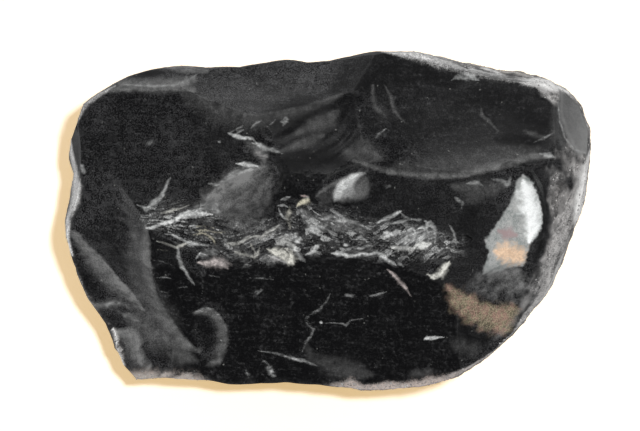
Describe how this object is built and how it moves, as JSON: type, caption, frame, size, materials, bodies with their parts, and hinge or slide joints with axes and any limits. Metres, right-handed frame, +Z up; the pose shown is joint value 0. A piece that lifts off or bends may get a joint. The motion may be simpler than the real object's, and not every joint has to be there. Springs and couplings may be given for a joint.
{
  "type": "flint nodule",
  "caption": "Broken nodule of black flint with chalky outer skin, conchoidal flake scars and sharp ridges, resting on a flat old fracture.",
  "frame": {"origin": "on the flat resting face, under the middle of the stone", "axes": "+X along the stone to its cortex-covered end, +Y to its back, +Z up"},
  "size_m": [0.0991, 0.0637, 0.0363],
  "materials": {
    "black_flint": "satin",
    "cortex": "matte"
  },
  "bodies": {
    "root": {"flint_nodule": "black_flint"}
  },
  "joints": []
}
